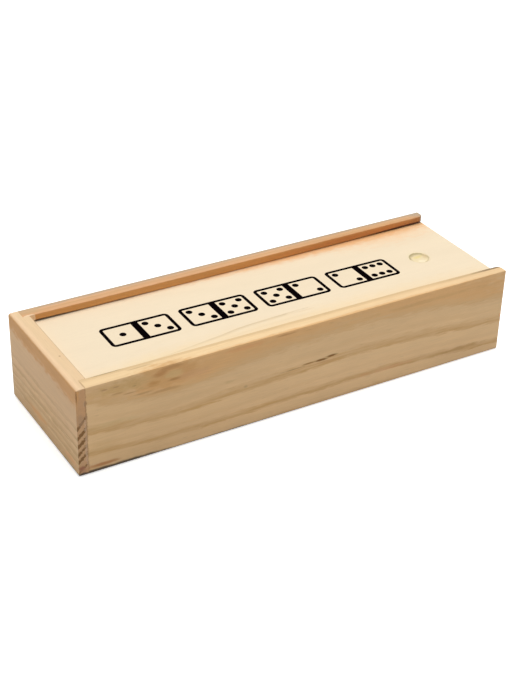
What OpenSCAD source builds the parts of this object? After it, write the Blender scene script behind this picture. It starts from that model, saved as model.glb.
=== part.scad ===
// Storage box with a sliding lid, made of thin softwood boards for one row of dominoes.
// Its lid runs in grooves and leaves through the low end. X runs along the box towards
// that open end, Y runs across it and Z up. The origin is at the middle of the underside.

/* [Box] */
// Overall length, along the lid's travel
box_length = 155; // [120:1:210]
// Overall width, over the two side boards
box_width = 50; // [40:0.5:70]
// Overall height, from the underside to the rim
box_height = 30; // [26:0.5:45]

/* [Boards] */
// Thickness of the two long side boards
side_thickness = 4.3; // [4:0.1:7]
// Thickness of the closed end board
closed_end_thickness = 5.3; // [4.8:0.1:8]
// Thickness of the open end board
open_end_thickness = 5.3; // [3:0.1:8]
// Thickness of the bottom panel
bottom_thickness = 3; // [2:0.1:4]

/* [Joints] */
// Thickness of the closed end board's lap over the ends of the side boards
lap_thickness = 3.1; // [2:0.1:4]
// Width of the rabbet that holds the bottom panel
rabbet_width = 2.2; // [1:0.1:2.6]

/* [Lid] */
// Thickness of the lid
lid_thickness = 3; // [2:0.1:4]
// Drop from the rim to the lid's top face
lid_drop = 2.6; // [2:0.05:5]
// Depth of the lid's grooves in the side boards and the closed end board
groove_depth = 2.2; // [1:0.1:2.6]
// Clearance between the lid's edges and the bottoms of the grooves
lid_edge_play = 0.3; // [0.1:0.05:0.6]
// Clearance under the lid, between it and the floor of the grooves
lid_bed_play = 0.1; // [0.05:0.05:0.3]
// Clearance over the lid, between it and the roof of the grooves
lid_head_play = 0.5; // [0.2:0.05:0.8]

/* [Thumb dish] */
// Diameter of the dish at the lid's top face
dish_diameter = 7.2; // [5:0.1:14]
// Depth of the dish
dish_depth = 1; // [0.5:0.1:1.5]
// Distance from the lid's open end to the middle of the dish
dish_inset = 16.8; // [10:0.1:30]

/* [Edges] */
// Radius on the closed end's top edge
end_radius = 0.8; // [0.5:0.1:1.8]
// Radius in plan on the inner corner of each lip, where the lid leaves
lip_end_radius = 1.5; // [0.5:0.1:1.8]
// Width of the small chamfer on the long outer edges
arris = 0.4; // [0.2:0.05:0.6]

/* [Hidden] */
$fn = 64;

// How far a cut runs past the face that it starts from
overcut = 1;

// Planes across the length
closed_x = -box_length / 2;
open_x = box_length / 2;
shoulder_x = closed_x + lap_thickness;
closed_inner_x = closed_x + closed_end_thickness;
open_inner_x = open_x - open_end_thickness;

// Distances out from the middle plane, on both sides
outer_y = box_width / 2;
inner_y = outer_y - side_thickness;
groove_y = inner_y + groove_depth;
rabbet_y = inner_y + rabbet_width;

// Heights of the lid and of the grooves that it runs in
lid_top_z = box_height - lid_drop;
lid_under_z = lid_top_z - lid_thickness;
groove_floor_z = lid_under_z - lid_bed_play;
groove_roof_z = lid_top_z + lid_head_play;

// Ends of the lid and of the bottom panel inside the closed end board
lid_closed_x = closed_inner_x - groove_depth + lid_edge_play;
panel_closed_x = closed_inner_x - rabbet_width;

// Runs a section, drawn as Y and Z, from one X to another
module along_x(from, to) {
    translate([from, 0, 0])
        rotate([90, 0, 90])
            linear_extrude(to - from)
                children();
}

// Runs a section, drawn as X and Z, to the same distance on both sides of the middle
module across_y(reach) {
    rotate([90, 0, 0])
        linear_extrude(2 * reach, center = true)
            children();
}

// Runs a section, drawn as X and Y, over the whole height and a little past it
module upright() {
    translate([0, 0, -overcut])
        linear_extrude(box_height + 2 * overcut)
            children();
}

// Repeats a shape on the other side of the middle plane
module both_sides() {
    children();
    mirror([0, 1, 0])
        children();
}

// Rectangle between two corners
module between(low, high) {
    translate(low)
        square(high - low);
}

// What a round of this radius takes off a corner at the origin, with the board at -X and -Y
module round_waste(radius) {
    difference() {
        between([-radius, -radius], [overcut, overcut]);
        translate([-radius, -radius])
            circle(radius);
    }
}

// What a chamfer takes off a corner at the origin, on whichever side the board lies
module arris_waste() {
    rotate(45)
        square(arris * sqrt(2), center = true);
}

// Section of the front side board: rim lip, lid groove and bottom rabbet on its inner face
module side_section() {
    difference() {
        between([-outer_y, 0], [-inner_y, box_height]);
        between([-groove_y, groove_floor_z], [-inner_y + overcut, groove_roof_z]);
        between([-rabbet_y, -overcut], [-inner_y + overcut, bottom_thickness]);
        for (corner = [[-outer_y, 0], [-outer_y, box_height], [-inner_y, box_height]])
            translate(corner)
                arris_waste();
    }
}

// Front side board, from the shoulder of the closed end to the open end
module side_board() {
    difference() {
        along_x(shoulder_x, open_x)
            side_section();
        // Lead-in on the lip's inner corner, where the lid leaves
        translate([open_x, -inner_y, groove_roof_z])
            linear_extrude(box_height)
                round_waste(lip_end_radius);
        // Eased outer corner at the open end
        upright()
            translate([open_x, -outer_y])
                arris_waste();
    }
}

module front_side_board() {
    color([0.72, 0.60, 0.44])
        side_board();
}

module rear_side_board() {
    color([0.72, 0.53, 0.34])
        mirror([0, 1, 0])
            side_board();
}

// Section of the closed end board, with the round on its top edge
module closed_end_section() {
    difference() {
        between([closed_x, 0], [closed_inner_x, box_height]);
        translate([closed_x, box_height])
            mirror([1, 0, 0])
                round_waste(end_radius);
        for (corner = [[closed_x, 0], [closed_inner_x, box_height]])
            translate(corner)
                arris_waste();
    }
}

// Closed end board, rabbeted at both ends: its lap covers the side boards' end grain and
// the rest fits between them
module closed_end_board() {
    color([0.73, 0.62, 0.50])
        difference() {
            across_y(outer_y)
                closed_end_section();
            both_sides() {
                // Rabbet that the side board's end sits in
                upright()
                    between(
                        [shoulder_x, inner_y],
                        [closed_inner_x + overcut, outer_y + overcut]
                    );
                // Eased upright corner
                upright()
                    translate([closed_x, outer_y])
                        arris_waste();
            }
            // Groove for the end of the lid
            across_y(groove_y)
                between(
                    [closed_inner_x - groove_depth, groove_floor_z],
                    [closed_inner_x + overcut, groove_roof_z]
                );
            // Rabbet for the end of the bottom panel
            across_y(rabbet_y)
                between(
                    [panel_closed_x, -overcut],
                    [closed_inner_x + overcut, bottom_thickness]
                );
        }
}

// Open end board, low enough for the lid to pass over it. It stands on the bottom panel
module open_end_board() {
    color([0.76, 0.66, 0.50])
        across_y(inner_y)
            between([open_inner_x, bottom_thickness], [open_x, groove_floor_z]);
}

// Bottom panel, set into the rabbets and run out under the open end board
module bottom_panel() {
    color([0.80, 0.70, 0.54])
        along_x(panel_closed_x, open_x)
            between([-rabbet_y, 0], [rabbet_y, bottom_thickness]);
}

// Section of the lid, with its four long edges eased
module lid_section() {
    reach = groove_y - lid_edge_play;
    difference() {
        between([-reach, lid_under_z], [reach, lid_top_z]);
        for (y = [-reach, reach], z = [lid_under_z, lid_top_z])
            translate([y, z])
                arris_waste();
    }
}

// Round thumb dish, cut by a ball that leaves the wanted width and depth
module thumb_dish() {
    ball_radius = (pow(dish_diameter / 2, 2) + pow(dish_depth, 2)) / (2 * dish_depth);
    translate([open_x - dish_inset, 0, lid_top_z - dish_depth + ball_radius])
        sphere(ball_radius);
}

// Lid, flush with the open end when it is shut
module sliding_lid() {
    color([0.98, 0.91, 0.78])
        difference() {
            along_x(lid_closed_x, open_x)
                lid_section();
            thumb_dish();
            // Eased edge at the open end
            across_y(outer_y)
                translate([open_x, lid_top_z])
                    arris_waste();
        }
}

front_side_board();
rear_side_board();
closed_end_board();
open_end_board();
bottom_panel();
sliding_lid();
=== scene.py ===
import math

import bpy
from mathutils import Matrix, Vector


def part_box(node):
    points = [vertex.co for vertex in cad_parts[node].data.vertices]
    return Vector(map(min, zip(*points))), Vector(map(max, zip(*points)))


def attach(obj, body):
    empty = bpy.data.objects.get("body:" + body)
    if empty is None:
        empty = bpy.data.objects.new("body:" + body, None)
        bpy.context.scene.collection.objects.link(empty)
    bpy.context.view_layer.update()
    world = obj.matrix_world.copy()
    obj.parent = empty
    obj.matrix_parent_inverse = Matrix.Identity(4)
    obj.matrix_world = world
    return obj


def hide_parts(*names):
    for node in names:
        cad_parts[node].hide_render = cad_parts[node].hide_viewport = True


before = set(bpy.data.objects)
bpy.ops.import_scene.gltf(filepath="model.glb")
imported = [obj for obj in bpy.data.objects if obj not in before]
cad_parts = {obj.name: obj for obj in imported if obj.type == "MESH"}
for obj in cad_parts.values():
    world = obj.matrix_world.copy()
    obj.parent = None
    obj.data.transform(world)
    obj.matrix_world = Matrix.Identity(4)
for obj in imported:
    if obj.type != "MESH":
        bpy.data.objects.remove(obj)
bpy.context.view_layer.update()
mm = 0.001
print("frame loaded")

# camera above the near left corner
view = {
    "place": (-0.20986, -0.34184, 0.25078),
    "forward": (0.4450, 0.7332, -0.5141),
    "right": (0.8621, -0.5061, 0.0244),
    "lens": 75,
    "nearest": 0.01,
}


def addCamera():
    lens = bpy.data.cameras.new("camera")
    lens.lens = view["lens"]
    lens.clip_start = view["nearest"]
    camera = bpy.data.objects.new("camera", lens)
    bpy.context.scene.collection.objects.link(camera)
    back = -Vector(view["forward"]).normalized()
    up = back.cross(Vector(view["right"])).normalized()
    turn = Matrix((up.cross(back), up, back)).transposed()
    camera.matrix_world = Matrix.Translation(view["place"]) @ turn.to_4x4()
    bpy.context.scene.camera = camera


def plug(tree, socket, value):
    if isinstance(value, bpy.types.NodeSocket):
        tree.links.new(value, socket)
    else:
        socket.default_value = value


def addNode(tree, kind, inputs=None, **settings):
    node = tree.nodes.new(kind)
    for name, value in settings.items():
        setattr(node, name, value)
    for socket, value in (inputs or {}).items():
        plug(tree, node.inputs[socket], value)
    return node


def calc(tree, operation, *values):
    return addNode(tree, "ShaderNodeMath", dict(enumerate(values)), operation=operation).outputs[0]


def vectorCalc(tree, operation, *values):
    node = addNode(tree, "ShaderNodeVectorMath", dict(enumerate(values)), operation=operation)
    return node.outputs["Value" if operation in ("LENGTH", "DOT_PRODUCT") else "Vector"]


def share(tree, value, low, high, way="LINEAR"):  # 0 at low, 1 at high
    node = addNode(tree, "ShaderNodeMapRange", {"Value": value, "From Min": low, "From Max": high},
                   interpolation_type=way)
    return node.outputs["Result"]


def noise(tree, vector, stretch, detail, roughness):
    scaled = vectorCalc(tree, "MULTIPLY", vector, stretch)
    node = addNode(tree, "ShaderNodeTexNoise",
                   {"Vector": scaled, "Scale": 1.0, "Detail": detail, "Roughness": roughness})
    return node.outputs["Fac"]


def swing(tree, vector, *kind):  # noise about 0
    return calc(tree, "SUBTRACT", noise(tree, vector, *kind), 0.5)


def mixColour(tree, factor, first, second, blend="MIX"):
    # sockets 6, 7 and 2 are the colour ones of a mix
    node = addNode(tree, "ShaderNodeMix", {0: factor, 6: first, 7: second},
                   data_type="RGBA", blend_type=blend)
    return node.outputs[2]


def objectPlace(tree):  # in millimetres
    metres = addNode(tree, "ShaderNodeTexCoord").outputs["Object"]
    return vectorCalc(tree, "MULTIPLY", metres, (1 / mm, 1 / mm, 1 / mm))


def newGroup(name, inputs, outputs):
    group = bpy.data.node_groups.new(name, "ShaderNodeTree")
    for way, sockets in (("INPUT", inputs), ("OUTPUT", outputs)):
        for socket, kind in sockets.items():
            group.interface.new_socket(name=socket, in_out=way, socket_type="NodeSocket" + kind)
    return group, group.nodes.new("NodeGroupInput").outputs, group.nodes.new("NodeGroupOutput").inputs


def useGroup(tree, group, inputs):
    return addNode(tree, "ShaderNodeGroup", inputs, node_tree=group).outputs


# the wood that all boards share, with the grain along X
wood = {
    # noises: turns per millimetre, detail and roughness
    "slowDrift": ((0.018, 0.05, 0.05), 2.0, 0.5),
    "quickDrift": ((0.07, 0.2, 0.2), 2.0, 0.5),
    "fineDrift": ((0.20, 1.4, 1.4), 4.0, 0.6),
    "streak": ((0.07, 1.5, 1.5), 3.0, 0.6),
    "hair": ((0.20, 5.0, 5.0), 3.0, 0.65),
    "duct": ((0.25, 3.2, 3.2), 1.0, 0.5),
    "blotch": ((0.04, 0.14, 0.14), 2.0, 0.5),
    "ragged": ((0.35, 0.9, 0.9), 3.0, 0.5),
    # rings
    "quickShare": 0.4,  # of the quick drift beside the slow one
    "wanderReach": 3.0,  # most millimetres of drift along a board
    "seedShift": (37.0, 11.0, 0),  # millimetres between one seed's wood and the next
    "ringStreak": (3.2, -0.6),  # gain and offset with which streaks break up the rings
    "ringBlotch": (1.0, 0.5),
    "paleShift": 0.36,  # width of the pale line outside each ring
    "paleGain": 1.2,
    # end grain
    "endFacing": (0.5, 0.95),  # how squarely a face cuts the grain
    "endRings": (0.1, 0.4),  # how dark a cut ring has to be
    "endFine": -0.5,  # the fine drift is halved there
    # resin ducts
    "ductStart": (0.68, 0.78),  # noise at which one starts and is full
    "ductShade": -0.6,
    "ductEndShade": -0.22,
    # surface
    "specular": 0.3,
    "ringRoughness": -0.08,
    "hairRoughness": 0.08,
    "ringHeight": 0.5,
    "hairHeight": 0.8,
    "ductHeight": -0.5,
    "bumpStrength": 0.7,
    "bumpDistance": 0.05 * mm,
}


def makeRingField():
    group, given, wanted = newGroup(
        "ringField",
        {"Position": "Vector", "Pith Y": "Float", "Pith Z": "Float", "Wobble": "Float",
         "Fine": "Float"},
        {"Radius": "Float"},
    )
    place = given["Position"]
    across = addNode(group, "ShaderNodeSeparateXYZ", {0: place}).outputs
    fromPith = addNode(group, "ShaderNodeCombineXYZ", {
        "Y": calc(group, "SUBTRACT", across["Y"], given["Pith Y"]),
        "Z": calc(group, "SUBTRACT", across["Z"], given["Pith Z"]),
    }).outputs[0]
    slow = swing(group, place, *wood["slowDrift"])
    quick = swing(group, place, *wood["quickDrift"])
    fine = swing(group, place, *wood["fineDrift"])
    drift = calc(group, "MULTIPLY_ADD", quick, wood["quickShare"], slow)
    drift = calc(group, "MULTIPLY", drift, given["Wobble"])
    drift = calc(group, "MULTIPLY_ADD", fine, given["Fine"], drift)
    plug(group, wanted["Radius"], calc(group, "ADD", vectorCalc(group, "LENGTH", fromPith), drift))
    return group


def makeFibre():
    group, given, wanted = newGroup(
        "fibre",
        {"Position": "Vector"},
        {"Streak": "Float", "Hair": "Float", "Duct": "Float", "Blotch": "Float"},
    )
    place = given["Position"]
    for thread in ("Streak", "Hair", "Blotch"):
        plug(group, wanted[thread], noise(group, place, *wood[thread.lower()]))
    ducts = noise(group, place, *wood["duct"])
    plug(group, wanted["Duct"], share(group, ducts, *wood["ductStart"], "SMOOTHSTEP"))
    return group


def makePatch():
    group, given, wanted = newGroup(
        "patch",
        {"Position": "Vector", "Centre": "Vector", "Reach": "Vector", "Soft": "Float", "Rag": "Float",
         "Edge": "Float"},
        {"Mask": "Float"},
    )
    offset = vectorCalc(group, "SUBTRACT", given["Position"], given["Centre"])
    far = vectorCalc(group, "LENGTH", vectorCalc(group, "DIVIDE", offset, given["Reach"]))
    far = calc(group, "MULTIPLY_ADD", given["Edge"], given["Rag"], far)
    full = calc(group, "SUBTRACT", 1.0, given["Soft"])
    plug(group, wanted["Mask"], share(group, far, 1.0, full, "SMOOTHSTEP"))
    return group


def makeFacing():
    group, given, wanted = newGroup("facing", {"Along": "Vector"}, {"Mask": "Float"})
    normal = addNode(group, "ShaderNodeTexCoord").outputs["Normal"]
    facing = calc(group, "ABSOLUTE", vectorCalc(group, "DOT_PRODUCT", normal, given["Along"]))
    plug(group, wanted["Mask"], share(group, facing, *wood["endFacing"], "SMOOTHSTEP"))
    return group


ringField = makeRingField()
fibre = makeFibre()
patch = makePatch()
facing = makeFacing()
print("wood effects made")

# a year starts pale, darkens over its rise and ends sharply at its ring
year = {
    "rising": [(-1.0, 0.0), (-0.55, 0.65)],  # places in rises, and how dark
    "ending": [(-0.16, 1.0), (0.16, 0.0)],  # places in millimetres, and how dark
    "lead": 3,  # rises before the first ring
    "tail": 1,  # millimetres after the last
}


def ringRamp(tree, radius, rings):
    # a ring is its radius, its strength and its rise
    node = addNode(tree, "ShaderNodeValToRGB")
    low = rings[0][0] - year["lead"] * rings[0][2]
    high = rings[-1][0] + year["tail"]
    stops = [(0.0, 0.0)]
    for place, strength, rise in rings:
        steps = [(step * rise, dark) for step, dark in year["rising"]] + year["ending"]
        for step, dark in steps:
            stops.append(((place + step - low) / (high - low), dark * strength))
    ramp = node.color_ramp
    while len(ramp.elements) < len(stops):
        ramp.elements.new(1.0)
    for element, (place, value) in zip(ramp.elements, sorted(stops)):
        element.position = place
        element.color = (value, value, value, 1)
    plug(tree, node.inputs["Fac"], share(tree, radius, low, high))
    return node.outputs["Color"]


def wanderCurve(tree, along, points):
    # how far the rings drift outwards along the board, none at the curve's middle
    reach = wood["wanderReach"]
    first, last = points[0][0], points[-1][0]
    curve = addNode(tree, "ShaderNodeFloatCurve", {"Value": share(tree, along, first, last)})
    line = curve.mapping.curves[0]
    while len(line.points) < len(points):
        line.points.new(0.5, 0.5)
    for point, (x, drift) in zip(line.points, points):
        point.location = ((x - first) / (last - first), 0.5 + drift / (2 * reach))
    curve.mapping.update()
    return calc(tree, "MULTIPLY_ADD", curve.outputs["Value"], 2 * reach, -reach)


def stain(at, reach, colour, strength, soft=0.7, rag=0.4):
    # a patch of colour, oval and with a ragged edge, in millimetres
    return {"at": at, "reach": reach, "colour": colour, "strength": strength, "soft": soft, "rag": rag}


def patchMask(tree, field, spot):
    return useGroup(tree, patch, {
        "Position": field["place"], "Centre": spot["at"], "Reach": spot["reach"],
        "Soft": spot["soft"], "Rag": spot["rag"], "Edge": field["edge"],
    })["Mask"]


def paintSpots(tree, field, colour, spots):
    for spot in spots:
        mask = calc(tree, "MULTIPLY", patchMask(tree, field, spot), spot["strength"])
        colour = mixColour(tree, mask, colour, (*spot["colour"], 1))
    return colour


def boardField(tree, look):
    # where a point lies on the board and in its wood, and how far it is end grain
    place = objectPlace(tree)
    axes = addNode(tree, "ShaderNodeSeparateXYZ", {0: place}).outputs
    if look["grain"] == "Y":
        turned = addNode(tree, "ShaderNodeCombineXYZ", {"X": axes["Y"], "Y": axes["X"], "Z": axes["Z"]})
        grain, along, alongAxis = turned.outputs[0], axes["Y"], (0, 1, 0)
    else:
        grain, along, alongAxis = place, axes["X"], (1, 0, 0)
    shift = look["seed"] * Vector(wood["seedShift"])
    return {
        "place": place,
        "along": along,
        "shift": shift,
        "edge": swing(tree, grain, *wood["ragged"]),
        "grain": vectorCalc(tree, "ADD", grain, shift),
        "ends": useGroup(tree, facing, {"Along": alongAxis})["Mask"],
    }


def woodRadius(tree, look, field):
    pithY, pithZ = look["pith"]
    shift = field["shift"]
    fine = calc(tree, "MULTIPLY_ADD", field["ends"], wood["endFine"] * look["fine"], look["fine"])
    radius = useGroup(tree, ringField, {
        "Position": field["grain"], "Pith Y": pithY + shift.y, "Pith Z": pithZ + shift.z,
        "Wobble": look["wobble"], "Fine": fine,
    })["Radius"]
    if "wander" in look:
        radius = calc(tree, "ADD", radius, wanderCurve(tree, field["along"], look["wander"]))
    for knot in look.get("knots", ()):
        around = patchMask(tree, field, knot)
        radius = calc(tree, "MULTIPLY_ADD", around, knot["push"], radius)
    return radius


def lateWood(tree, look, radius, threads):
    # the dark wood of the rings, from 0 to 1
    late = ringRamp(tree, radius, look["rings"])
    for thread, change in (("Streak", wood["ringStreak"]), ("Blotch", wood["ringBlotch"])):
        late = calc(tree, "MULTIPLY", late, calc(tree, "MULTIPLY_ADD", threads[thread], *change))
    return calc(tree, "MINIMUM", calc(tree, "MAXIMUM", late, 0.0), 1.0)


def paintWood(tree, look, field, radius, late, threads):
    # tints lie under the rings, stains over them
    colour = paintSpots(tree, field, (*look["early"], 1), look.get("tints", ()))
    sideRings = calc(tree, "MULTIPLY", late, look["sideRings"])
    colour = mixColour(tree, sideRings, colour, (*look["late"], 1))
    if "pale" in look:
        after = ringRamp(tree, calc(tree, "SUBTRACT", radius, wood["paleShift"]), look["rings"])
        after = calc(tree, "MULTIPLY", calc(tree, "SUBTRACT", after, late), threads["Streak"])
        after = calc(tree, "MULTIPLY", calc(tree, "MAXIMUM", after, 0.0), wood["paleGain"])
        colour = mixColour(tree, after, colour, (*look["pale"], 1))
    if "heart" in look:
        heart = look["heart"]
        inside = share(tree, radius, heart["place"], heart["place"] - heart["rise"], "SMOOTHSTEP")
        inside = calc(tree, "MULTIPLY", inside, patchMask(tree, field, heart))
        inside = calc(tree, "MULTIPLY", inside, heart["strength"])
        colour = mixColour(tree, inside, colour, (*heart["colour"], 1))
    colour = mixColour(tree, field["ends"], colour, (*look["endTint"], 1), "MULTIPLY")
    endRings = share(tree, late, *wood["endRings"], "SMOOTHSTEP")
    endRings = calc(tree, "MULTIPLY", calc(tree, "MULTIPLY", endRings, field["ends"]), look["endRings"])
    colour = mixColour(tree, endRings, colour, (*look["endLate"], 1))
    return paintSpots(tree, field, colour, look.get("stains", ()))


def shadeWood(tree, look, field, threads, colour):
    spread = look["fibre"]
    shade = calc(tree, "MULTIPLY_ADD", threads["Blotch"], spread, 1 - spread / 2)
    for thread in ("Streak", "Hair"):
        shift = calc(tree, "MULTIPLY_ADD", threads[thread], spread, 1 - spread / 2)
        shade = calc(tree, "MULTIPLY", shade, shift)
    pores = calc(tree, "MULTIPLY_ADD", field["ends"], wood["ductEndShade"], wood["ductShade"] * spread)
    shade = calc(tree, "MULTIPLY", shade, calc(tree, "MULTIPLY_ADD", threads["Duct"], pores, 1.0))
    grey = addNode(tree, "ShaderNodeCombineColor", {0: shade, 1: shade, 2: shade}).outputs[0]
    return mixColour(tree, 1.0, colour, grey, "MULTIPLY")


def makePine(look):
    material = bpy.data.materials.new(look["name"])
    material.use_nodes = True
    tree = material.node_tree
    field = boardField(tree, look)
    threads = useGroup(tree, fibre, {"Position": field["grain"]})
    radius = woodRadius(tree, look, field)
    late = lateWood(tree, look, radius, threads)
    colour = paintWood(tree, look, field, radius, late, threads)
    rough = calc(tree, "MULTIPLY_ADD", late, wood["ringRoughness"], look["roughness"])
    height = calc(tree, "MULTIPLY", late, wood["ringHeight"])
    height = calc(tree, "MULTIPLY_ADD", threads["Hair"], wood["hairHeight"], height)
    height = calc(tree, "MULTIPLY_ADD", threads["Duct"], wood["ductHeight"], height)
    bump = addNode(tree, "ShaderNodeBump", {
        "Height": height, "Strength": wood["bumpStrength"], "Distance": wood["bumpDistance"],
    })
    shader = tree.nodes["Principled BSDF"].inputs
    plug(tree, shader["Base Color"], shadeWood(tree, look, field, threads, colour))
    plug(tree, shader["Roughness"],
         calc(tree, "MULTIPLY_ADD", threads["Hair"], wood["hairRoughness"], rough))
    plug(tree, shader["Normal"], bump.outputs["Normal"])
    shader["Specular IOR Level"].default_value = wood["specular"]
    return material


shaping = {
    "same": 0.02 * mm,  # places that count as one
    "slack": 0.1 * mm,  # reach past a place, to take in its edge
    "along": 0.9,  # least part on an axis of a direction along it
    "across": 0.1,  # and most part of one across it
    "weld": 0.002 * mm,
    "wideSteps": 6,
    "roundSteps": 4,
    "seamSteps": 3,
    "arrisSteps": 3,
    "arrisAngle": math.radians(40),
    "smoothAngle": math.radians(35),
}


def pick(board, kind, chosen):
    # selects the faces, edges or vertices that chosen says, by middle and direction
    bpy.ops.object.mode_set(mode="OBJECT")
    mesh = board.data
    for part in (*mesh.vertices, *mesh.edges, *mesh.polygons):
        part.select = False
    if kind == "FACE":
        for face in mesh.polygons:
            face.select = chosen(face.center, face.normal)
    elif kind == "EDGE":
        for edge in mesh.edges:
            start, end = (mesh.vertices[i].co for i in edge.vertices)
            edge.select = chosen((start + end) / 2, (end - start).normalized())
    else:
        for vertex in mesh.vertices:
            vertex.select = chosen(vertex.co, vertex.normal)
    bpy.ops.object.mode_set(mode="EDIT")
    bpy.ops.mesh.select_mode(type=kind)


def near(value, target):
    return abs(value - target) < shaping["same"]


def isAlong(part):  # part of a direction on one axis
    return abs(part) > shaping["along"]


def isAcross(part):
    return abs(part) < shaping["across"]


def addBlock(name, low, high):
    bpy.ops.object.select_all(action="DESELECT")
    low, high = Vector(low), Vector(high)
    bpy.ops.mesh.primitive_cube_add(size=1, location=(low + high) / 2)
    block = bpy.context.object
    block.name = block.data.name = name
    block.scale = high - low
    bpy.ops.object.transform_apply(location=True, rotation=True, scale=True)
    bpy.ops.object.mode_set(mode="EDIT")
    bpy.ops.mesh.select_mode(type="FACE")
    return block


def cutAcross(place, normal):
    bpy.ops.mesh.select_all(action="SELECT")
    bpy.ops.mesh.bisect(plane_co=place, plane_no=normal)


def slide(x=0.0, y=0.0, z=0.0):
    bpy.ops.transform.translate(value=(x, y, z))


def pullOut(x=0.0, y=0.0, z=0.0):
    bpy.ops.mesh.extrude_region_move(TRANSFORM_OT_translate={"value": (x, y, z)})


def roundEdges(board, chosen, radius, steps):
    pick(board, "EDGE", chosen)
    bpy.ops.mesh.bevel(offset=radius, segments=steps, affect="EDGES", clamp_overlap=True)


def finishBoard(board, piece, node, body):
    bpy.ops.object.mode_set(mode="EDIT")
    bpy.ops.mesh.select_all(action="SELECT")
    bpy.ops.mesh.remove_doubles(threshold=shaping["weld"])
    bpy.ops.mesh.normals_make_consistent(inside=False)
    bpy.ops.object.mode_set(mode="OBJECT")
    soften = board.modifiers.new("arris", "BEVEL")
    soften.width = piece["arris"]
    soften.segments = shaping["arrisSteps"]
    soften.limit_method = "ANGLE"
    soften.angle_limit = shaping["arrisAngle"]
    bpy.ops.object.modifier_apply(modifier="arris")
    bpy.ops.object.shade_smooth_by_angle(angle=shaping["smoothAngle"])
    even = board.modifiers.new("even", "WEIGHTED_NORMAL")
    even.keep_sharp = True
    bpy.ops.object.modifier_apply(modifier="even")
    board.data.materials.append(makePine(piece["pine"]))
    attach(board, body)
    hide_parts(node)


# boxes of the boards, and planes that they share
frontLow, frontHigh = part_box("front_side_board")
closedLow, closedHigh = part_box("closed_end_board")
openLow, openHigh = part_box("open_end_board")
bottomLow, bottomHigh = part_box("bottom_panel")
lidLow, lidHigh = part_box("sliding_lid")
innerY = frontHigh.y  # inner face of the front board, below zero
outerY = frontLow.y
rabbetY = bottomLow.y
grooveFloor = openHigh.z
headPlay = 0.5 * mm  # between the lid and the lips
grooveRoof = lidHigh.z + headPlay
rimZ = frontHigh.z
shoulderX = frontLow.x
openX = frontHigh.x


def cutLevels():  # at the panel's top, the groove's floor and its roof
    for height in (bottomHigh.z, grooveFloor, grooveRoof):
        cutAcross((0, 0, height), (0, 0, 1))


def inWall(height):  # not in the rabbet or the groove
    return bottomHigh.z < height < grooveFloor or height > grooveRoof


def inLip(height):
    return height > grooveRoof - shaping["same"]


# where the closed end laps the front board, on the faces of both and on their rims
lapSeam = [
    stain((-74.4, -25, 12), (0.28, 1.5, 15), (0.46, 0.27, 0.15), 0.5, soft=0.4, rag=5.0),
    stain((-74.5, -25, 22.6), (0.4, 1.5, 3.0), (0.40, 0.23, 0.11), 0.65, soft=0.5, rag=3.0),
    stain((-74.4, -22.9, 30), (0.35, 3.4, 0.6), (0.52, 0.34, 0.18), 0.7, rag=1.6),
]

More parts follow.
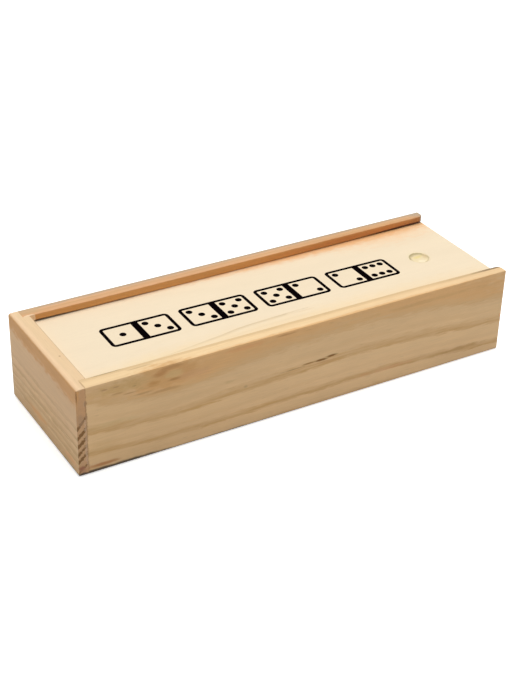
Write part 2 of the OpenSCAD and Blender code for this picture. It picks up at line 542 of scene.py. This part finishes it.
sideBoard = {
    "taper": 0.9 * mm,  # the lip narrows towards the open end
    "lipEndRadius": 1.5 * mm,
    "footRadius": 0.6 * mm,
    "seam": 0.08 * mm,
    "arris": 0.3 * mm,
}
frontSide = {
    **sideBoard,
    "overhang": 0.45 * mm,  # extra width of the lip
    "taperLength": 40 * mm,
    "lipRadius": 0.15 * mm,
    "sags": [],
    "pine": {
        "name": "frontPine", "grain": "X", "seed": 1,
        "early": (0.865, 0.605, 0.335), "late": (0.63, 0.385, 0.16),
        "pith": (31.7, 34.6), "wobble": 0.4, "fine": 1.0,
        "wander": [(-77.5, 0.50), (-67.5, 0.10), (-57.5, -0.12), (-37.5, -0.10), (-22.5, 0.08),
                   (-7.5, 0.28), (7.5, 0.40), (22.5, 0.50), (37.5, 0.30), (52.5, 0.0),
                   (62.5, -0.35), (77.5, -0.7)],
        # where a knot pushes the rings
        "knots": [
            {"at": (-46.5, -25, 27), "reach": (26, 30, 24), "soft": 1.0, "rag": 0.1, "push": -0.55},
            {"at": (-68, -25, 5), "reach": (45, 30, 10), "soft": 1.0, "rag": 0.1, "push": 0.7},
        ],
        "rings": [(54.3, 0.2, 0.5), (58.0, 0.45, 1.0), (59.3, 0.15, 0.6), (60.8, 0.75, 1.25),
                  (62.7, 0.15, 0.6), (64.4, 0.85, 1.1), (67.5, 0.9, 1.5)],
        "heart": {"place": 58.1, "rise": 0.9,
                  **stain((12, -26.6, 25), (110, 3.2, 14), (0.79, 0.47, 0.205), 0.9, soft=0.3)},
        "tints": [
            # painted shade: the near face darker towards the closed end
            stain((-66, -25, 12), (90, 3, 50), (0.79, 0.54, 0.285), 0.6, soft=1.0),
            stain((30, -25, 22), (120, 3, 8), (0.81, 0.56, 0.305), 0.8, soft=1.0),
            stain((-67, -25, 15.2), (11, 3, 1.8), (0.71, 0.52, 0.26), 0.5, rag=0.8),
            stain((-70, -25, 8.0), (9, 3, 4.0), (0.73, 0.50, 0.25), 0.75, soft=0.9),
            stain((-70, -25, 28), (11, 3, 4.5), (0.80, 0.52, 0.27), 0.6, soft=0.9),
            # sun-bleached top
            stain((-35, -22.8, 30.1), (125, 4, 0.9), (0.93, 0.68, 0.38), 0.85, soft=0.8),
        ],
        "stains": [
            # knot: an orange ring around a dull eye, with a tail of flecks
            stain((-49, -25, 27.2), (14, 4, 5.6), (0.72, 0.42, 0.17), 0.75, soft=0.5, rag=0.9),
            stain((-45, -25, 26.4), (7.5, 3, 3.8), (0.68, 0.37, 0.15), 0.5, soft=0.7, rag=1.0),
            stain((-50.8, -25, 27.8), (3.6, 3, 1.5), (0.56, 0.28, 0.10), 0.85, rag=1.0),
            stain((-46.6, -25, 29.1), (5.0, 3, 1.2), (0.58, 0.31, 0.12), 0.85, rag=1.0),
            stain((-52.8, -25, 25.2), (3.0, 3, 1.3), (0.60, 0.31, 0.10), 0.8, rag=0.9),
            stain((-46.0, -25, 26.6), (4.4, 4, 1.9), (0.74, 0.49, 0.22), 0.95, soft=0.6, rag=0.8),
            stain((-45.9, -25, 24.7), (2.8, 3, 0.6), (0.52, 0.27, 0.09), 0.85, rag=0.6),
            stain((-49, -25, 21.8), (8.0, 3, 0.7), (0.60, 0.35, 0.15), 0.85, rag=0.7),
            stain((-62.5, -25, 27.2), (13, 3, 3.4), (0.70, 0.47, 0.22), 0.7, soft=0.6, rag=0.8),
            stain((-62.0, -25, 27.0), (8.5, 3, 2.2), (0.64, 0.41, 0.17), 0.65, rag=2.6),
            stain((-68.4, -25, 27.6), (1.4, 3, 0.4), (0.48, 0.26, 0.13), 0.7, rag=0.8),
            stain((-64.8, -25, 27.5), (1.3, 3, 0.35), (0.48, 0.27, 0.13), 0.65, rag=0.8),
            stain((-59.0, -25, 26.2), (0.9, 3, 0.35), (0.46, 0.28, 0.12), 0.6),
            stain((-64.6, -25, 25.2), (2.8, 3, 0.4), (0.56, 0.32, 0.14), 0.75, rag=0.8),
            stain((-60.6, -25, 24.2), (3.4, 3, 0.4), (0.54, 0.30, 0.13), 0.8, rag=0.8),
            stain((-56.0, -25, 22.8), (4.2, 3, 0.45), (0.58, 0.34, 0.15), 0.75, rag=0.8),
            stain((-38.5, -25, 24.6), (7.5, 3, 2.2), (0.72, 0.42, 0.21), 0.5, rag=1.2),
            # orange flecks under the rim
            stain((-22, -25, 28.7), (8, 3, 1.1), (0.78, 0.40, 0.17), 0.6, rag=1.0),
            stain((-7, -25, 29.1), (6, 3, 0.5), (0.56, 0.29, 0.11), 0.7, rag=1.6),
            stain((44, -25, 26.9), (26, 3, 0.8), (0.66, 0.40, 0.17), 0.55, rag=1.6),
            # resin dashes
            stain((-4.5, -25, 15.7), (5.0, 2, 0.3), (0.42, 0.24, 0.10), 0.8, rag=1.0),
            stain((1.6, -25, 16.3), (3.4, 2, 0.35), (0.30, 0.14, 0.03), 0.9, rag=0.8),
            stain((5.4, -25, 16.25), (3.6, 2, 0.5), (0.21, 0.09, 0.01), 0.95, rag=0.9),
            stain((9.6, -25, 16.8), (3.0, 2, 0.5), (0.21, 0.09, 0.01), 0.95, rag=0.9),
            stain((6.5, -25, 15.2), (6.0, 2, 0.5), (0.62, 0.36, 0.16), 0.6, rag=1.4),
            stain((-21.5, -25, 14.6), (1.0, 2, 0.8), (0.50, 0.34, 0.17), 0.6),
            stain((-27, -25, 18), (3.0, 2, 0.8), (0.66, 0.46, 0.23), 0.5, rag=1.0),
            stain((31, -25, 5.6), (14, 2, 0.9), (0.72, 0.38, 0.18), 0.5, rag=2.0),
            stain((60, -25, 4.8), (13, 2, 0.8), (0.50, 0.28, 0.10), 0.6, rag=1.6),
            # darker foot with a painted contact shadow along it, seam against the closed end, and a
            # fleck by the open end
            stain((0, -25, 0), (400, 2, 0.9), (0.52, 0.33, 0.16), 0.6, rag=0.8),
            stain((-69.5, -25, 2.3), (7.0, 2, 0.8), (0.52, 0.23, 0.09), 0.9, rag=0.8),
            # painted contact shadow along the left half of the foot, darkest by the closed end
            stain((-74, -25, 0), (36, 2, 1.45), (0.06, 0.045, 0.03), 0.95, soft=0.4, rag=0.5),
            stain((-30, -25, 0), (40, 2, 0.7), (0.14, 0.10, 0.06), 0.9, soft=0.5, rag=0.7),
            *lapSeam,
            stain((77.5, -25, 13.3), (0.8, 1, 1.5), (0.92, 0.44, 0.24), 0.55),
            # inner edge of the lip, darker along it, with painted shadow lines by both ends
            stain((0, -20.8, 30.1), (400, 1.3, 0.8), (0.68, 0.48, 0.25), 0.65, soft=0.8, rag=0.5),
            stain((75, -21.5, 30.1), (12, 0.8, 0.8), (0.16, 0.09, 0.04), 1.0, soft=0.6, rag=0.4),
            stain((62, -21.6, 30.1), (22, 0.9, 0.8), (0.60, 0.42, 0.22), 0.6, soft=0.8, rag=0.4),
            stain((-66, -20.2, 30), (8, 0.7, 1), (0.34, 0.23, 0.10), 0.9, rag=0.6),
            stain((-56, -22.0, 30), (6, 0.5, 1), (0.62, 0.43, 0.21), 0.7, rag=0.8),
        ],
        "sideRings": 1.0, "endRings": 0.6,
        "endTint": (0.84, 0.74, 0.62), "endLate": (0.30, 0.17, 0.08),
        "fibre": 0.18, "roughness": 0.60,
    },
}
rearSide = {
    **sideBoard,
    "overhang": 0.0,
    "taperLength": 120 * mm,
    "lipRadius": 0.55 * mm,
    # places along the lip's underside, and how far it hangs down there
    "sags": [(-64 * mm, 0.03 * mm), (-56 * mm, 0.2 * mm), (-45 * mm, 0.36 * mm), (-20 * mm, 0.38 * mm),
             (10 * mm, 0.36 * mm), (30 * mm, 0.3 * mm), (48 * mm, 0.23 * mm), (62 * mm, 0.08 * mm)],
    "pine": {
        "name": "rearPine", "grain": "X", "seed": 4,
        "early": (0.775, 0.51, 0.285), "late": (0.60, 0.345, 0.15),
        "pith": (-38.0, 52.0), "wobble": 1.2, "fine": 0.8,
        "rings": [(62.0, 0.6, 1.6), (65.0, 0.7, 1.8), (68.0, 0.7, 2.0), (71.0, 0.9, 1.8),
                  (74.0, 1.0, 1.3), (77.0, 0.9, 1.3)],
        "tints": [
            stain((0, 22.8, 30.2), (600, 9, 1.2), (0.765, 0.43, 0.22), 1.0, soft=0.8),
            stain((50, 22.8, 30.2), (34, 9, 1.2), (0.745, 0.41, 0.18), 0.7, soft=0.8),
        ],
        "stains": [
            # lip's inner face, darker towards the open end, over a groove painted dark as shade, with
            # painted shadow lines under the lip by both ends
            stain((0, 21.0, 28.3), (400, 2.0, 1.9), (0.69, 0.325, 0.095), 0.92, soft=0.3, rag=0.2),
            stain((62, 21.3, 28.8), (68, 1.9, 1.7), (0.62, 0.245, 0.075), 0.9, soft=0.8, rag=0.7),
            stain((77.5, 21.4, 28.8), (10, 2.0, 1.8), (0.44, 0.19, 0.06), 0.6),
            stain((0, 22.5, 26.1), (400, 1.9, 2.2), (0.52, 0.32, 0.15), 0.9, soft=0.2),
            stain((-78, 22.2, 27.8), (38, 2.4, 0.6), (0.12, 0.05, 0.02), 1.0, soft=0.3, rag=0.2),
            stain((76, 22.0, 27.8), (34, 2.4, 0.7), (0.10, 0.02, 0.01), 1.0, soft=0.6, rag=0.2),
            stain((0, 25.3, 30.2), (400, 2.6, 0.8), (0.44, 0.355, 0.245), 0.85, soft=0.8, rag=0.5),
            stain((77.6, 21.8, 29.2), (1.8, 2.4, 2.8), (0.42, 0.28, 0.16), 0.85, soft=0.5, rag=0.3),
            stain((77.5, 24.3, 30.1), (6, 3.2, 1.2), (0.47, 0.38, 0.27), 0.7, soft=0.6, rag=0.3),
            stain((-71.5, 23.4, 30.1), (6, 2.6, 0.8), (0.60, 0.40, 0.21), 0.6, rag=0.8),
            stain((-72.4, 20.5, 28.9), (2.3, 1.0, 3.0), (0.93, 0.70, 0.46), 0.85, soft=0.2, rag=0.3),
        ],
        "sideRings": 0.9, "endRings": 0.45,
        "endTint": (0.86, 0.77, 0.66), "endLate": (0.30, 0.15, 0.07),
        "fibre": 0.20, "roughness": 0.60,
    },
}


def sideBoardShape(name, side):
    # the outer skin of the board, then its inner strips pulled out between groove and rabbet
    board = addBlock(name, (shoulderX, outerY, 0), (openX, rabbetY, rimZ))
    cutLevels()
    pick(board, "FACE", lambda middle, normal: normal.y > shaping["along"] and inWall(middle.z))
    pullOut(y=innerY - rabbetY)
    # the lip: its inner edge, then its underside
    lipY = innerY + side["overhang"]
    wornY = lipY - side["taper"]
    cutAcross((openX - side["taperLength"], 0, 0), (1, 0, 0))
    pick(board, "VERT", lambda point, normal: near(point.y, innerY) and inLip(point.z))
    slide(y=side["overhang"])
    pick(board, "VERT", lambda point, normal: near(point.x, openX) and near(point.y, lipY)
         and inLip(point.z))
    slide(y=-side["taper"])
    roundEdges(board, lambda middle, line: near(middle.x, openX) and near(middle.y, wornY)
               and isAlong(line.z), side["lipEndRadius"], shaping["wideSteps"])
    roundEdges(board, lambda middle, line: near(middle.z, rimZ)
               and middle.y > wornY - shaping["slack"] and isAlong(line.x),
               side["lipRadius"], shaping["roundSteps"])
    for x, sag in side["sags"]:
        cutAcross((x, 0, 0), (1, 0, 0))
        pick(board, "VERT", lambda point, normal: near(point.x, x) and near(point.z, grooveRoof)
             and point.y > rabbetY - shaping["same"])
        slide(z=-sag)
    # the foot, and the seam against the closed end
    roundEdges(board, lambda middle, line: near(middle.z, 0) and near(middle.y, outerY)
               and isAlong(line.x), side["footRadius"], shaping["roundSteps"])
    roundEdges(board, lambda middle, line: near(middle.x, shoulderX) and isAcross(line.x),
               side["seam"], shaping["seamSteps"])
    return board


frontBoard = sideBoardShape("frontSideBoard", frontSide)
finishBoard(frontBoard, frontSide, "front_side_board", "box")
rearBoard = sideBoardShape("rearSideBoard", rearSide)
bpy.ops.object.mode_set(mode="EDIT")
bpy.ops.mesh.select_all(action="SELECT")
bpy.ops.transform.mirror(constraint_axis=(False, True, False), center_override=(0, 0, 0))
finishBoard(rearBoard, rearSide, "rear_side_board", "box")
print("side boards made")

closedEnd = {
    "topRadius": 0.8 * mm,
    "footRadius": 0.6 * mm,
    "seam": 0.08 * mm,
    "arris": 0.3 * mm,
    "pine": {
        "name": "endPine", "grain": "Y", "seed": 2,
        "early": (0.805, 0.545, 0.315), "late": (0.56, 0.35, 0.15), "pale": (0.86, 0.64, 0.38),
        "pith": (-106.0, 40.1), "wobble": 1.5, "fine": 2.5,
        "rings": [(37.6, 0.7, 1.1), (39.9, 0.9, 1.2), (42.1, 1.0, 1.25), (43.95, 0.8, 1.05),
                  (45.85, 1.0, 1.15), (48.4, 0.45, 1.0)],
        "tints": [
            stain((-75, 0, 30.3), (60, 90, 1.0), (0.85, 0.615, 0.365), 1.0, soft=0.8),
            stain((-77.5, 0, 5), (2, 60, 13), (0.71, 0.475, 0.235), 0.8, soft=0.8),
            stain((-77.5, 0, 19.5), (2, 60, 7), (0.755, 0.52, 0.30), 0.6, soft=0.8),
            stain((-76, -25, 10), (3, 1, 12), (0.80, 0.58, 0.37), 0.8),
        ],
        "stains": [
            stain((-78.0, 2, 29.4), (2.1, 90, 5.8), (0.70, 0.385, 0.155), 1.0, soft=0.4, rag=0.9),
            stain((-78.0, 12, 27.2), (2, 7, 2.0), (0.64, 0.34, 0.13), 0.6, rag=1.0),
            stain((-78.0, -12, 27.4), (2, 8, 1.8), (0.64, 0.33, 0.12), 0.5, rag=1.0),
            stain((-78.0, -24, 26.5), (1.6, 26, 4.4), (0.70, 0.39, 0.165), 0.6),
            stain((-77.5, 5, 4.5), (2, 9, 1.6), (0.78, 0.42, 0.16), 0.75, rag=0.9),
            stain((-77.5, -19, 3.4), (2, 6, 1.6), (0.86, 0.48, 0.22), 0.65, rag=0.8),
            stain((-77.5, 25, 8), (2, 1.6, 13), (0.48, 0.36, 0.24), 0.6),
            # darker foot, with a painted contact shadow by the front corner
            stain((-77.5, 0, 0), (2, 80, 1.5), (0.50, 0.33, 0.18), 0.7, rag=0.8),
            stain((-77.5, -22, 0), (2, 20, 0.9), (0.12, 0.10, 0.07), 0.9, rag=0.5),
            # seam of the lap, rust at the corner, a reddish foot and a painted contact shadow under it
            stain((-74.7, -25, 11), (0.6, 1, 14), (0.66, 0.46, 0.30), 0.7, rag=3.0),
            *lapSeam,
            stain((-77.3, -25, 27.7), (0.32, 0.7, 3.2), (0.30, 0.14, 0.05), 0.85),
            stain((-76.3, -25, 19.5), (1.6, 1.5, 3.0), (0.46, 0.29, 0.17), 0.6),
            stain((-76.5, -25, 2.7), (1.5, 1, 1.1), (0.36, 0.14, 0.08), 0.9, rag=0.6),
            stain((-75.9, -25, 1.6), (1.5, 2, 1.6), (0.52, 0.28, 0.16), 0.6, rag=1.0),
            stain((-76, -25, 0), (3, 2, 1.3), (0.06, 0.045, 0.03), 0.95, soft=0.4, rag=0.4),
            # round top edge, with a painted highlight
            stain((-76.6, 0, 30.1), (1.5, 90, 0.7), (0.93, 0.67, 0.42), 0.8, soft=0.7, rag=0.2),
            # dark line along the lid and a speck
            stain((-72.1, 0, 30), (0.4, 90, 0.8), (0.50, 0.33, 0.17), 0.7, rag=0.6),
            stain((-73.7, -5.5, 30), (0.45, 0.45, 1), (0.45, 0.26, 0.13), 0.7),
        ],
        "sideRings": 0.8, "endRings": 0.9,
        "endTint": (0.80, 0.69, 0.60), "endLate": (0.21, 0.10, 0.025),
        "fibre": 0.16, "roughness": 0.60,
    },
}


def closedEndShape():
    board = addBlock("closedEndBoard", (closedLow.x, outerY, 0), (shoulderX, -outerY, rimZ))
    cutLevels()
    for side in (innerY, -innerY):
        cutAcross((0, side, 0), (0, 1, 0))
    pick(board, "FACE", lambda middle, normal: normal.x > shaping["along"]
         and inWall(middle.z) and abs(middle.y) < -innerY)
    pullOut(x=closedHigh.x - shoulderX)
    # its rim makes room for the front board's wider lip
    pick(board, "VERT", lambda point, normal: near(point.y, innerY) and inLip(point.z))
    slide(y=frontSide["overhang"])
    roundEdges(board, lambda middle, line: near(middle.x, closedLow.x) and near(middle.z, rimZ),
               closedEnd["topRadius"], shaping["wideSteps"])
    roundEdges(board, lambda middle, line: near(middle.z, 0)
               and (near(middle.x, closedLow.x) or near(abs(middle.y), -outerY)),
               closedEnd["footRadius"], shaping["roundSteps"])
    roundEdges(board, lambda middle, line: near(middle.x, shoulderX) and near(abs(middle.y), -outerY),
               closedEnd["seam"], shaping["seamSteps"])
    return board


closedBoard = closedEndShape()
finishBoard(closedBoard, closedEnd, "closed_end_board", "box")
print("closed end board made")

openEnd = {
    "arris": 0.3 * mm,
    "pine": {
        "name": "openPine", "grain": "Y", "seed": 5,
        "early": (0.83, 0.60, 0.36), "late": (0.66, 0.43, 0.20),
        "pith": (60.0, 50.0), "wobble": 1.8, "fine": 0.9,
        "rings": [(28.0, 0.5, 1.2), (31.2, 0.8, 1.5), (34.0, 0.4, 1.0), (37.9, 0.9, 1.6),
                  (41.0, 0.5, 1.2), (44.6, 0.8, 1.4), (47.0, 0.5, 1.0)],
        "sideRings": 0.8, "endRings": 0.8,
        "endTint": (0.80, 0.69, 0.60), "endLate": (0.26, 0.14, 0.06),
        "fibre": 0.16, "roughness": 0.60,
    },
}
openBoard = addBlock("openEndBoard", openLow, openHigh)
finishBoard(openBoard, openEnd, "open_end_board", "box")
print("open end board made")

bottomPanel = {
    "arris": 0.2 * mm,
    "pine": {
        "name": "bottomPine", "grain": "X", "seed": 7,
        "early": (0.85, 0.66, 0.42), "late": (0.70, 0.49, 0.27),
        "pith": (5.0, -60.0), "wobble": 2.0, "fine": 0.3,
        "rings": [(60.0, 0.5, 1.0), (61.2, 0.6, 1.0), (62.6, 0.7, 1.1), (64.2, 0.7, 1.2),
                  (66.0, 0.7, 1.3)],
        "sideRings": 0.8, "endRings": 0.45,
        "endTint": (0.86, 0.77, 0.66), "endLate": (0.44, 0.26, 0.12),
        "fibre": 0.16, "roughness": 0.62,
    },
}
panel = addBlock("bottomPanel", bottomLow, bottomHigh)
finishBoard(panel, bottomPanel, "bottom_panel", "box")
print("bottom panel made")

lid = {
    "arris": 0.3 * mm,
    "dishDiameter": 7.2 * mm,
    "dishDepth": 1.0 * mm,
    "dishInset": 16.8 * mm,
    "dishSteps": 96,
    "pine": {
        "name": "lidPine", "grain": "X", "seed": 3,
        "early": (0.915, 0.765, 0.55), "late": (0.62, 0.47, 0.27),
        "pith": (6.0, -43.0), "wobble": 0.3, "fine": 0.12,
        "wander": [(-77.5, -2.2), (-44.0, -1.22), (-35.0, -0.86), (-25.0, -0.49), (-17.0, -0.16),
                   (-9.0, 0.0), (77.5, 0.0)],
        "rings": [(70.9, 0.05, 0.5), (72.75, 1.0, 0.28), (73.5, 0.2, 0.3), (75.4, 0.05, 0.5)],
        "stains": [
            stain((48, -12, 27.4), (50, 8, 5), (0.915, 0.765, 0.55), 1.0, soft=0.25),
            stain((7.5, -12.3, 27.4), (5, 0.5, 2), (0.80, 0.63, 0.41), 0.45, rag=0.8),
            stain((5, -23, 27.4), (130, 15, 5), (0.92, 0.69, 0.38), 0.9, soft=1.0),
            stain((-46, -18, 27.4), (24, 7, 5), (0.91, 0.73, 0.45), 0.6, soft=1.0),
            stain((-8, -17.4, 27.4), (60, 1.3, 3), (0.96, 0.82, 0.56), 0.6, rag=0.8),
            # more orange towards the far edge and under the lip
            stain((62, 24, 27.4), (36, 15, 6), (0.93, 0.58, 0.31), 0.9, soft=1.0, rag=0.6),
            stain((25, 22.6, 27.4), (100, 4.5, 5), (0.88, 0.55, 0.29), 0.9, soft=0.9, rag=0.9),
            stain((40, 21.5, 27.4), (70, 5, 5), (0.85, 0.47, 0.20), 0.8, soft=0.8, rag=0.6),
            # thumb dish: painted shade on the far rim, yellow wall under it, pale floor with a painted
            # highlight, painted shade on its right and near sides
            stain((60.6, 0.5, 27.4), (4.4, 4.5, 4), (0.92, 0.78, 0.50), 0.6, soft=0.3, rag=0.3),
            stain((60.5, 0.2, 27.4), (3.65, 3.6, 4), (0.40, 0.32, 0.14), 0.8, soft=0.1, rag=0.2),
            stain((60.6, -0.1, 27.0), (3.55, 3.4, 4), (0.88, 0.73, 0.46), 1.0, soft=0.3, rag=0.3),
            stain((61.2, 1.7, 27.0), (2.6, 0.9, 4), (0.86, 0.70, 0.30), 0.8),
            stain((60.9, -1.2, 27.0), (2.0, 1.5, 4), (0.97, 0.84, 0.60), 0.95, soft=0.6, rag=0.5),
            stain((63.4, 0.8, 27.0), (1.2, 2.0, 4), (0.76, 0.58, 0.32), 0.7, soft=0.9),
            stain((58.9, -2.6, 27.2), (0.9, 0.7, 3), (0.62, 0.47, 0.24), 0.75),
            stain((62.2, -2.7, 27.2), (1.2, 0.5, 3), (0.68, 0.53, 0.29), 0.7),
        ],
        "sideRings": 0.8, "endRings": 0.5,
        "endTint": (0.91, 0.87, 0.82), "endLate": (0.50, 0.33, 0.17),
        "fibre": 0.05, "roughness": 0.58,
    },
}


def lidShape():
    # a board with a thumb dish, cut by a ball
    board = addBlock("slidingLid", lidLow, lidHigh)
    bpy.ops.object.mode_set(mode="OBJECT")
    rim, depth = lid["dishDiameter"] / 2, lid["dishDepth"]
    ball = (rim ** 2 + depth ** 2) / (2 * depth)
    bpy.ops.object.select_all(action="DESELECT")
    bpy.ops.mesh.primitive_uv_sphere_add(
        segments=lid["dishSteps"], ring_count=lid["dishSteps"], radius=ball,
        location=(lidHigh.x - lid["dishInset"], 0, lidHigh.z - depth + ball),
    )
    cutter = bpy.context.object
    bpy.ops.object.select_all(action="DESELECT")
    board.select_set(True)
    bpy.context.view_layer.objects.active = board
    dish = board.modifiers.new("dish", "BOOLEAN")
    dish.object = cutter
    dish.operation = "DIFFERENCE"
    bpy.ops.object.modifier_apply(modifier="dish")
    bpy.data.objects.remove(cutter)
    return board


lidBoard = lidShape()
finishBoard(lidBoard, lid, "sliding_lid", "lid")
print("lid made")

# print on the lid: a chain of domino outlines
printing = {
    "middle": (-3.5 * mm, 0.35 * mm),
    "turn": math.radians(-0.85),
    "tile": (23.6 * mm, 11.8 * mm),
    "gap": 3.5 * mm,
    "line": 1.15 * mm,
    "corner": 1.6 * mm,
    "cornerSteps": 6,
    "pip": 2.2 * mm,
    "pipSteps": 28,
    "pipStep": 2.95 * mm,
    "ink": 0.03 * mm,
    "dark": (0.0015, 0.0008, 0.001),
    "light": (0.004, 0.002, 0.003),
    "speckle": ((0.8, 2.5, 2.5), 3.0, 0.5),
    "roughness": 0.6,
    "roughnessSpread": 0.2,
    "values": [(1, 3), (3, 5), (5, 2), (2, 6)],
}


def pipPlaces(count):
    # pairs that face each other, and one in the middle for an odd count
    pairs = [(-1, 1), (1, 1), (0, 1)][:count // 2]
    places = [place for x, y in pairs for place in ((x, y), (-x, -y))]
    return places + [(0, 0)] * (count % 2)


def addTileOutline(middle):
    # a plane with round corners, cut in two, each half inset and its inside taken out
    wide, high = printing["tile"]
    bpy.ops.object.select_all(action="DESELECT")
    bpy.ops.mesh.primitive_plane_add(size=1, location=(middle, 0, 0))
    tile = bpy.context.object
    tile.scale = (wide, high, 1)
    bpy.ops.object.transform_apply(location=True, rotation=True, scale=True)
    bpy.ops.object.mode_set(mode="EDIT")
    bpy.ops.mesh.select_all(action="SELECT")
    bpy.ops.mesh.bevel(offset=printing["corner"], segments=printing["cornerSteps"], affect="VERTICES")
    cutAcross((middle, 0, 0), (1, 0, 0))
    bpy.ops.mesh.select_all(action="SELECT")
    bpy.ops.mesh.select_mode(type="FACE")
    bpy.ops.mesh.inset(thickness=printing["line"], use_individual=True)
    bpy.ops.mesh.delete(type="FACE")
    bpy.ops.object.mode_set(mode="OBJECT")
    return tile


def addPip(x, y):
    bpy.ops.object.select_all(action="DESELECT")
    bpy.ops.mesh.primitive_circle_add(vertices=printing["pipSteps"], radius=printing["pip"] / 2,
                                      fill_type="NGON", location=(x, y, 0))
    bpy.ops.object.transform_apply(location=True, rotation=True, scale=True)
    return bpy.context.object


def makeInk():
    material = bpy.data.materials.new("ink")
    material.use_nodes = True
    tree = material.node_tree
    shader = tree.nodes["Principled BSDF"].inputs
    speckle = noise(tree, objectPlace(tree), *printing["speckle"])
    colour = mixColour(tree, speckle, (*printing["dark"], 1), (*printing["light"], 1))
    plug(tree, shader["Base Color"], colour)
    plug(tree, shader["Roughness"],
         calc(tree, "MULTIPLY_ADD", speckle, printing["roughnessSpread"], printing["roughness"]))
    shader["Specular IOR Level"].default_value = 0.0
    return material


def addPrint():
    wide, step = printing["tile"][0], printing["pipStep"]
    pieces = []
    for place, halves in enumerate(printing["values"]):
        middle = (place - (len(printing["values"]) - 1) / 2) * (wide + printing["gap"])
        pieces.append(addTileOutline(middle))
        for side, count in zip((-1, 1), halves):
            for x, y in pipPlaces(count):
                pieces.append(addPip(middle + side * wide / 4 + x * step, y * step))
    bpy.ops.object.select_all(action="DESELECT")
    for piece in pieces:
        piece.select_set(True)
    bpy.context.view_layer.objects.active = pieces[0]
    bpy.ops.object.join()
    chain = bpy.context.object
    chain.name = chain.data.name = "lidPrint"
    bpy.ops.object.mode_set(mode="EDIT")
    bpy.ops.mesh.select_all(action="SELECT")
    pullOut(z=printing["ink"])
    bpy.ops.mesh.select_all(action="SELECT")
    bpy.ops.mesh.normals_make_consistent(inside=False)
    bpy.ops.transform.rotate(value=-printing["turn"], orient_axis="Z", center_override=(0, 0, 0))
    slide(*printing["middle"], lidHigh.z)
    bpy.ops.object.mode_set(mode="OBJECT")
    chain.data.materials.append(makeInk())
    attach(chain, "lid")


addPrint()
print("print made")

# a floor that the camera sees evenly white, and soft light from above
white = (1, 1, 1, 1)
black = (0, 0, 0, 1)
studio = {
    "floorSize": 8.0,
    "floorDrop": 0.05 * mm,
    "floorColour": (0.80, 0.77, 0.73),
    "floorRoughness": 0.9,
    "floorGlow": 0.48,
    "floorFade": (0.3, 0.9),
    "skyStrength": 0.34,
    "lampPower": 14.2,
    "lampSize": 1.2,
    "lampPlace": (0.12, 0.10, 1.3),
}


def cameraShare(tree):
    # 1 for what the camera sees itself, in a mirror or through glass
    path = addNode(tree, "ShaderNodeLightPath").outputs
    seen = calc(tree, "MAXIMUM", path["Is Camera Ray"], path["Is Glossy Ray"])
    return calc(tree, "MAXIMUM", seen, path["Is Transmission Ray"])


def addFloor():
    bpy.ops.object.select_all(action="DESELECT")
    bpy.ops.mesh.primitive_plane_add(size=studio["floorSize"], location=(0, 0, -studio["floorDrop"]))
    floor = bpy.context.object
    floor.name = "floor"
    material = bpy.data.materials.new("floor")
    material.use_nodes = True
    tree = material.node_tree
    shader = tree.nodes["Principled BSDF"].inputs
    seen = cameraShare(tree)
    plug(tree, shader["Base Color"], mixColour(tree, seen, (*studio["floorColour"], 1), white))
    plug(tree, shader["Emission Color"], mixColour(tree, seen, black, white))
    place = addNode(tree, "ShaderNodeTexCoord").outputs["Object"]
    away = share(tree, vectorCalc(tree, "LENGTH", place), *studio["floorFade"], "SMOOTHSTEP")
    glow = calc(tree, "MULTIPLY_ADD", away, 1.0 - studio["floorGlow"], studio["floorGlow"])
    plug(tree, shader["Emission Strength"], glow)
    shader["Roughness"].default_value = studio["floorRoughness"]
    shader["Specular IOR Level"].default_value = 0.0
    floor.data.materials.append(material)


def addLight():
    world = bpy.data.worlds.new("studio")
    world.use_nodes = True
    bpy.context.scene.world = world
    tree = world.node_tree
    sky = studio["skyStrength"]
    background = tree.nodes["Background"].inputs
    background["Color"].default_value = white
    plug(tree, background["Strength"], calc(tree, "MULTIPLY_ADD", cameraShare(tree), 1.0 - sky, sky))
    lamp = bpy.data.lights.new("softbox", "AREA")
    lamp.energy = studio["lampPower"]
    lamp.size = studio["lampSize"]
    holder = bpy.data.objects.new("softbox", lamp)
    bpy.context.scene.collection.objects.link(holder)
    holder.location = studio["lampPlace"]
    holder.rotation_mode = "QUATERNION"
    holder.rotation_quaternion = (-Vector(studio["lampPlace"])).to_track_quat("-Z", "Y")


addCamera()
addFloor()
addLight()
bpy.context.scene.view_settings.view_transform = "Standard"
print("studio made")
